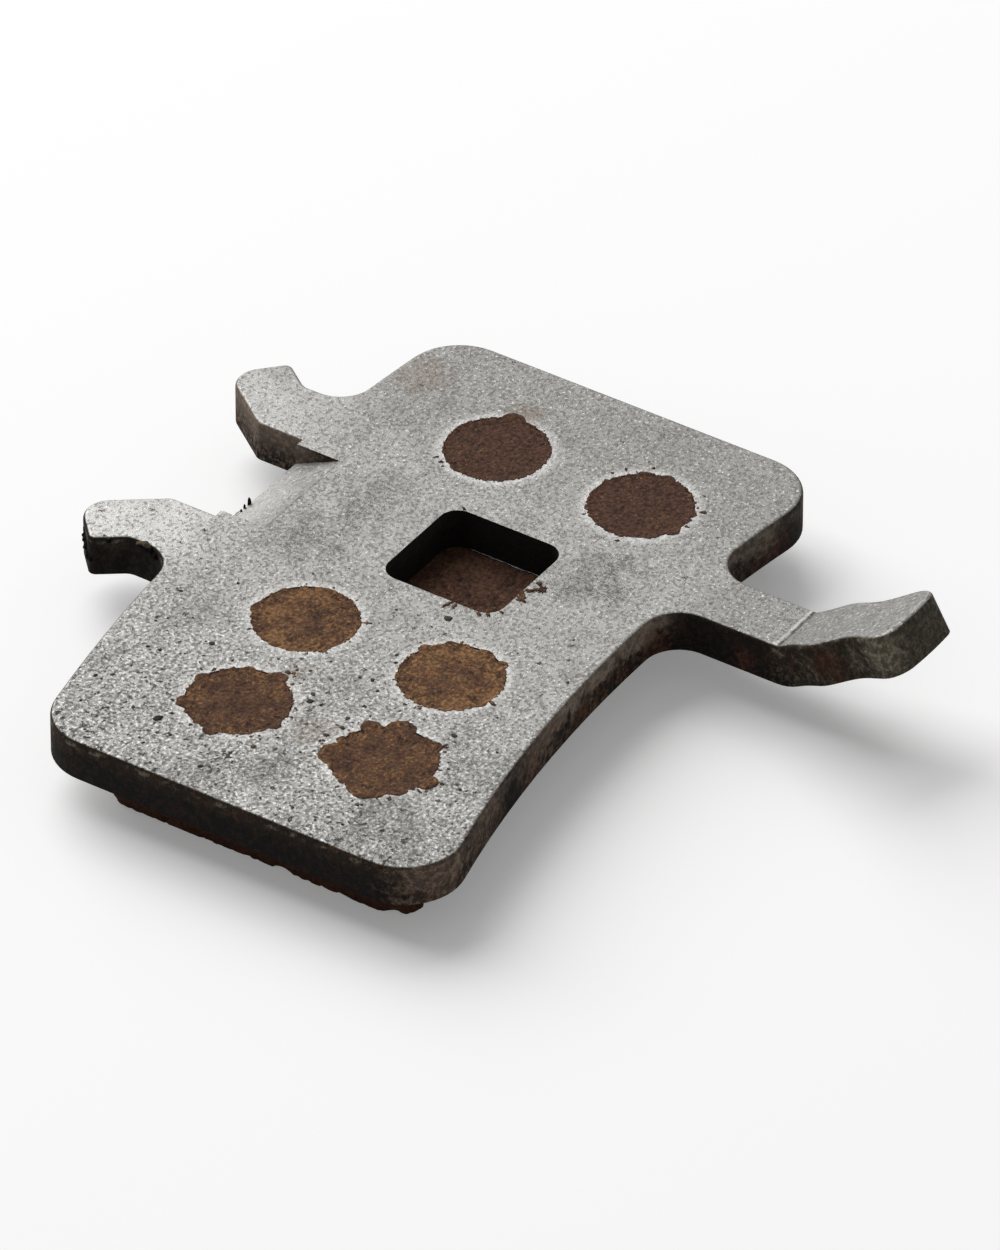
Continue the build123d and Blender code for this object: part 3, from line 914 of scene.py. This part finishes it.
def on_bare_back(x, y, margin):
    """Whether a crumb would lie on the flat back, clear of holes, window, ramp and edges."""
    from_axle = math.hypot(x, y + AXLE_DROP) - AXLE_DROP
    if not -IN_REACH + margin < from_axle < OUT_REACH - margin:
        return False
    if not -END_LONG + margin < x < END_SHORT - margin:
        return False
    if abs(x) < WINDOW_REACH + margin and (abs(y) < WINDOW_REACH + margin or y > RAMP_CLEAR_Y - margin):
        return False
    corner_x = x + END_LONG if x < 0 else END_SHORT - x
    corner_y = min(OUT_REACH - from_axle, from_axle + IN_REACH)
    if corner_x + corner_y < CORNER_CUT:
        return False
    clear = HOLE_RADIUS + RING_WIDTH + margin
    return all(math.hypot(x - hx, y - hy) > clear for hx, hy in HOLES.values())


draw = random.Random(CRUMB_SEED)
made = bmesh.new()
placed = 0
while placed < CRUMB_COUNT:
    x = draw.uniform(-END_LONG, END_SHORT)
    y = draw.uniform(-BACK_HALF, BACK_HALF)
    keep = SPARSE_SHARE
    if x <= THICKEN_FROM:
        keep = DENSE_LEAST + DENSE_MORE * min(1, (THICKEN_FROM - x) / THICKEN_RUN)
    radius = CRUMB_LEAST + CRUMB_SPREAD * draw.random() ** 3.0
    if draw.random() < keep and on_bare_back(x, y, radius):
        stretch, turn = draw.uniform(*CRUMB_STRETCH), draw.uniform(*CRUMB_TURN)
        add_crumb(made, (x, y, BACK_MM), radius, radius * CRUMB_HEIGHT, draw, stretch, turn)
        placed += 1

# %% Crumbs that stand out
LISTED = ((-4.05, -1.42, 0.21), (-16.9, 5.0, 0.22), (-11.2, 6.1, 0.15), (-16.3, 0.45, 0.15),
          (-12.3, 0.2, 0.16), (-11.8, 0.42, 0.14), (-11.3, -1.9, 0.10), (-10.9, -6.3, 0.15),
          (-13.1, -2.0, 0.14), (-13.9, -1.7, 0.14), (-14.4, -1.7, 0.09), (-12.4, -1.8, 0.13),
          (-11.1, 2.2, 0.16), (-10.75, 1.95, 0.10))
LISTED_WIDTH, LISTED_HEIGHT, LISTED_STRETCH = 0.85, 0.3, 1.3
for x, y, radius in LISTED:
    wide, tall = radius * LISTED_WIDTH, radius * LISTED_HEIGHT
    add_crumb(made, (x, y, BACK_MM), wide, tall, draw, LISTED_STRETCH, draw.uniform(*CRUMB_TURN))

# %% Lumps of caked brake dust on the left hook's wall, and splinters on the ramp's lower edge
LUMPS = ((-6.76, 15.86, 3.42, 0.13), (-6.90, 15.73, 3.30, 0.15), (-7.02, 15.62, 3.12, 0.17),
         (-7.14, 15.50, 3.28, 0.14), (-7.26, 15.38, 3.05, 0.18), (-7.38, 15.26, 3.22, 0.15),
         (-7.50, 15.14, 2.92, 0.17), (-7.60, 15.02, 2.72, 0.15), (-7.30, 14.30, 3.80, 0.12),
         (-6.86, 12.90, 3.88, 0.13), (-6.83, 12.62, 3.92, 0.13), (-6.84, 12.40, 3.80, 0.16),
         (-6.88, 12.05, 3.60, 0.15))
LUMP_SWELL, LUMP_BODY, LUMP_WAVES = 1.45, 0.85, ((6, 0.5), (15, 0.3))
SPLINTERS = ((-1.30, 11.35, 0.06, 0.15), (-1.02, 11.36, 0.07, 0.27), (-0.66, 11.36, 0.08, 0.43))
SPLINTER_STRETCH, SPLINTER_SIDES, SPLINTER_RAGGED = 1.2, 7, (0.4, 1.2)
RAMP_FOOT_MM = 2.85


def add_lump(made, place, radius):
    """A rough ball, half sunk in the wall, in millimetres."""
    ball = bmesh.ops.create_icosphere(made, subdivisions=3, radius=radius * MM)["verts"]
    for vert in ball:
        spot = vert.co / MM + place
        swell = sum((size * noise.noise(spot * waves) for waves, size in LUMP_WAVES), LUMP_BODY)
        vert.co = (place + (vert.co / MM) * swell) * MM


for x, y, z, radius in LUMPS:
    add_lump(made, Vector((x, y, z)), radius * LUMP_SWELL)
for x, y, radius, height in SPLINTERS:
    add_crumb(made, (x, y, RAMP_FOOT_MM), radius, height, draw, SPLINTER_STRETCH,
              draw.uniform(*CRUMB_TURN), SPLINTER_SIDES, SPLINTER_RAGGED)
bmesh.ops.recalc_face_normals(made, faces=made.faces)
crumb_mesh = bpy.data.meshes.new("crumbs")
made.to_mesh(crumb_mesh)
made.free()

# %% Crumbs are darker than the lining, and black with brake dust below the back
CRUMB_DARK = (0.034, 0.028, 0.021, 1)
CRUMB_BROWN = (0.140, 0.105, 0.070, 1)
crumb_dirt, tree, output = new_material("compound_crumbs")
mm = position_mm(tree)
tint = use_group(tree, grain_group, mm, Size=0.9, Roughen=0.6)
rough = vary(tree, 0.85, tint, 0.1)
level = add_node(tree, "SeparateXYZ", Vector=mm).outputs["Z"]
crumb_colour = blend(tree, tint, CRUMB_DARK, CRUMB_BROWN)
below_back = step(tree, level, BACK_MM - 0.02, BACK_MM - 0.10)
crumb_colour = blend(tree, below_back, crumb_colour, SCALE_AND_SHADE_BLACK)
shader = add_node(tree, "BsdfPrincipled", Base_Color=crumb_colour, Roughness=rough,
                  Specular_IOR_Level=0.1)
tree.links.new(shader.outputs[0], output.inputs["Surface"])
crumbs = link_piece("crumbs", crumb_mesh, crumb_dirt)
print("crumbs", placed + len(LISTED))

# %% [markdown]
# ## Burrs
#
# The punch left a thin lip of bright steel at the foot of the window's far wall, and the coining
# of the ramp pushed out small slivers at its lower edge. They are too small for the CAD model,
# but they catch the light, so they are added here as strips with a ragged edge.

# %% A ragged strip of steel along a line
BURR_STEP, BURR_LEAST = 0.08, 0.005
BURR_BODY, BURR_RAGGED, BURR_WAVES = 0.55, 0.9, 3.5


def add_burr(made, start, end, out, width, thick, seed):
    """A thin strip from start to end that juts out by a ragged width, all in millimetres."""
    steps = max(4, round((end - start).length / BURR_STEP))
    loops = []
    for i in range(steps + 1):
        place = start.lerp(end, i / steps)
        ends = max(0, math.sin(math.pi * i / steps)) ** 0.5
        rough = noise.noise(place * BURR_WAVES + Vector((seed, 0, 0)))
        edge = place + out * max(BURR_LEAST, width * ends * (BURR_BODY + BURR_RAGGED * rough))
        lift = Vector((0, 0, thick))
        corners = (place, edge, edge + lift * 0.5, place + lift)
        loops.append([made.verts.new(point * MM) for point in corners])
    for loop, following in zip(loops, loops[1:]):
        for j in range(len(loop)):
            k = (j + 1) % len(loop)
            made.faces.new((loop[j], loop[k], following[k], following[j]))
    made.faces.new(list(reversed(loops[0])))
    made.faces.new(loops[-1])


# %% Place the burrs
FLOOR_MM = 2.0
BURRS = (
    (Vector((2.925, -2.1, FLOOR_MM)), Vector((2.925, 2.1, FLOOR_MM)), Vector((-1, 0, 0)), 0.12, 0.05),
    (Vector((-2.9, 11.33, 2.92)), Vector((-1.2, 11.38, 2.92)), Vector((0, 1, 0)), 0.10, 0.04),
    (Vector((-2.94, 10.4, 3.40)), Vector((-2.94, 11.3, 3.40)), Vector((1, 0, 0)), 0.06, 0.04),
)
made = bmesh.new()
for seed, (start, end, out, width, thick) in enumerate(BURRS):
    add_burr(made, start, end, out, width, thick, seed)
bmesh.ops.recalc_face_normals(made, faces=made.faces)
burr_mesh = bpy.data.meshes.new("burrs")
made.to_mesh(burr_mesh)
made.free()
burrs = link_piece("burrs", burr_mesh, steel)
print("burrs", len(BURRS))
